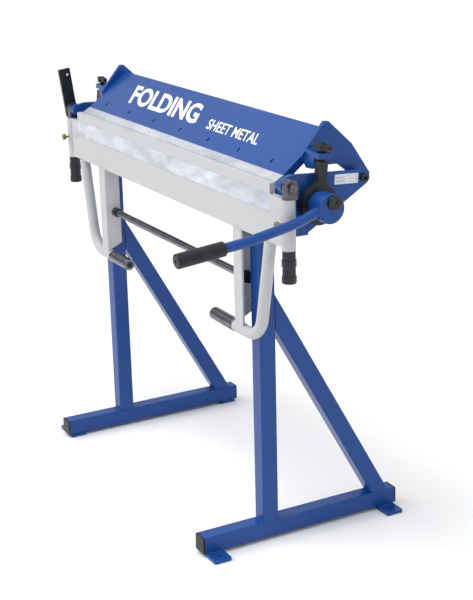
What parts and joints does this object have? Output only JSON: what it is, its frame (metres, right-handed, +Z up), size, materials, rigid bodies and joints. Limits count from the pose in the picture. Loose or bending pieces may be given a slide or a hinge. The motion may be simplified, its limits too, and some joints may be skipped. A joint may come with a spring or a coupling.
{
  "type": "hand sheet metal folding brake",
  "caption": "Floor-standing hand brake for folding sheet metal: sloped clamping beam on eccentric pull rods, hinged bending beam with two handles, welded square-tube stand.",
  "frame": {"origin": "on the floor, at the centre of the four floor bolt holes", "axes": "+Z up, +X along the blade to the right of an operator who faces +Y, -Y towards the operator"},
  "size_m": [1.2275, 0.6542, 0.9782],
  "materials": {
    "blue_paint": "glossy enamel",
    "grey_paint": "semi-gloss enamel",
    "ground_steel": "ground",
    "bright_steel": "turned",
    "chrome_steel": "polished",
    "black_steel": "blackened, oiled",
    "black_plastic": "moulded",
    "brass": "turned",
    "bronze": "turned",
    "label_foil": "satin foil"
  },
  "bodies": {
    "stand": {"left_foot_bar": "blue_paint", "right_foot_bar": "blue_paint", "left_upright": "blue_paint", "right_upright": "blue_paint", "left_brace": "blue_paint", "right_brace": "blue_paint", "foot_end_caps": "black_plastic", "floor_tabs": "blue_paint", "post_top_plates": "blue_paint", "bed_bolts": "black_steel", "bed_tube": "blue_paint", "bed_jaw": "ground_steel", "jaw_screws": "black_steel", "left_side_plate": "blue_paint", "right_side_plate": "blue_paint", "pivot_bosses": "blue_paint", "pivot_pins": "black_steel", "pivot_washers": "bronze", "stop_arm": "black_steel", "clamp_pivot_bolts": "black_steel", "clamp_pivot_nuts": "black_steel", "shaft_bushes": "bronze", "rating_label": "label_foil"},
    "clamp_beam": {"clamp_face_plate": "blue_paint", "clamp_nose_block": "blue_paint", "clamp_blade": "ground_steel", "blade_screws": "black_steel", "clamp_end_plates": "blue_paint", "clamp_top_flange": "blue_paint", "clamp_ribs": "blue_paint", "rod_brackets": "blue_paint"},
    "clamp_lever": {"eccentric_shaft": "bright_steel", "right_eccentric": "blue_paint", "left_eccentric": "blue_paint", "shaft_caps": "black_steel", "clamp_lever_tube": "blue_paint", "lever_grip": "black_plastic"},
    "left_rod": {"left_pull_rod": "black_steel", "left_rod_stud": "black_steel"},
    "right_rod": {"right_pull_rod": "black_steel", "right_rod_stud": "black_steel"},
    "left_nut": {"left_wing_nut": "black_steel"},
    "right_nut": {"right_wing_nut": "black_steel"},
    "bending_beam": {"bending_beam_plate": "grey_paint", "bending_rail": "ground_steel", "end_sleeves": "grey_paint", "eye_bolts": "black_steel", "angle_arms": "grey_paint", "tie_rod": "chrome_steel", "tie_rod_nuts": "black_steel", "tie_rod_collars": "black_steel", "grip_bolts": "black_steel", "left_handle": "grey_paint", "right_handle": "grey_paint"},
    "left_hand_grip": {"left_grip": "chrome_steel"},
    "right_hand_grip": {"right_grip": "chrome_steel"},
    "left_knob": {"left_adjusting_knob": "black_steel"},
    "right_knob": {"right_adjusting_knob": "black_steel"},
    "left_thumb_screw": {"left_lock_screw": "brass"},
    "right_thumb_screw": {"right_lock_screw": "brass"}
  },
  "joints": [
    {"name": "lever_turn", "type": "hinge", "parent": "stand", "child": "clamp_lever", "pos_m": [0, -0.037, 0.831], "axis": [-1, 0, 0], "range_deg": [0, 100]},
    {"name": "clamp_beam_lift", "type": "hinge", "parent": "stand", "child": "clamp_beam", "pos_m": [0, 0.077, 0.857], "axis": [-1, 0, 0], "range_deg": [0, 9.95]},
    {"name": "bending_beam_swing", "type": "hinge", "parent": "stand", "child": "bending_beam", "pos_m": [0, -0.115, 0.864], "axis": [-1, 0, 0], "range_deg": [0, 135]},
    {"name": "left_rod_swing", "type": "hinge", "parent": "clamp_lever", "child": "left_rod", "pos_m": [-0.565, -0.043, 0.8176], "axis": [-1, 0, 0], "range_deg": [-88.8, 0]},
    {"name": "left_nut_turn", "type": "hinge", "parent": "left_rod", "child": "left_nut", "pos_m": [-0.565, -0.03129, 0.929], "axis": [0, 0.1045, 0.9945], "continuous": true},
    {"name": "left_grip_spin", "type": "hinge", "parent": "bending_beam", "child": "left_hand_grip", "pos_m": [-0.2877, -0.12, 0.506], "axis": [1, 0, 0], "continuous": true},
    {"name": "left_knob_turn", "type": "hinge", "parent": "bending_beam", "child": "left_knob", "pos_m": [-0.574, -0.1195, 0.7], "axis": [0, 0, 1], "continuous": true},
    {"name": "left_lock_turn", "type": "hinge", "parent": "bending_beam", "child": "left_thumb_screw", "pos_m": [-0.574, -0.1395, 0.79], "axis": [0, 1, 0], "continuous": true},
    {"name": "right_rod_swing", "type": "hinge", "parent": "clamp_lever", "child": "right_rod", "pos_m": [0.565, -0.043, 0.8176], "axis": [-1, 0, 0], "range_deg": [-88.8, 0]},
    {"name": "right_nut_turn", "type": "hinge", "parent": "right_rod", "child": "right_nut", "pos_m": [0.565, -0.03129, 0.929], "axis": [0, 0.1045, 0.9945], "continuous": true},
    {"name": "right_grip_spin", "type": "hinge", "parent": "bending_beam", "child": "right_hand_grip", "pos_m": [0.2877, -0.12, 0.506], "axis": [1, 0, 0], "continuous": true},
    {"name": "right_knob_turn", "type": "hinge", "parent": "bending_beam", "child": "right_knob", "pos_m": [0.574, -0.1195, 0.7], "axis": [0, 0, 1], "continuous": true},
    {"name": "right_lock_turn", "type": "hinge", "parent": "bending_beam", "child": "right_thumb_screw", "pos_m": [0.574, -0.1395, 0.79], "axis": [0, 1, 0], "continuous": true}
  ],
  "couplings": [
    {"joint": "clamp_beam_lift", "follows": "lever_turn", "ratio": 0.0994},
    {"joint": "left_rod_swing", "follows": "lever_turn", "ratio": -0.8875},
    {"joint": "right_rod_swing", "follows": "lever_turn", "ratio": -0.8875}
  ]
}
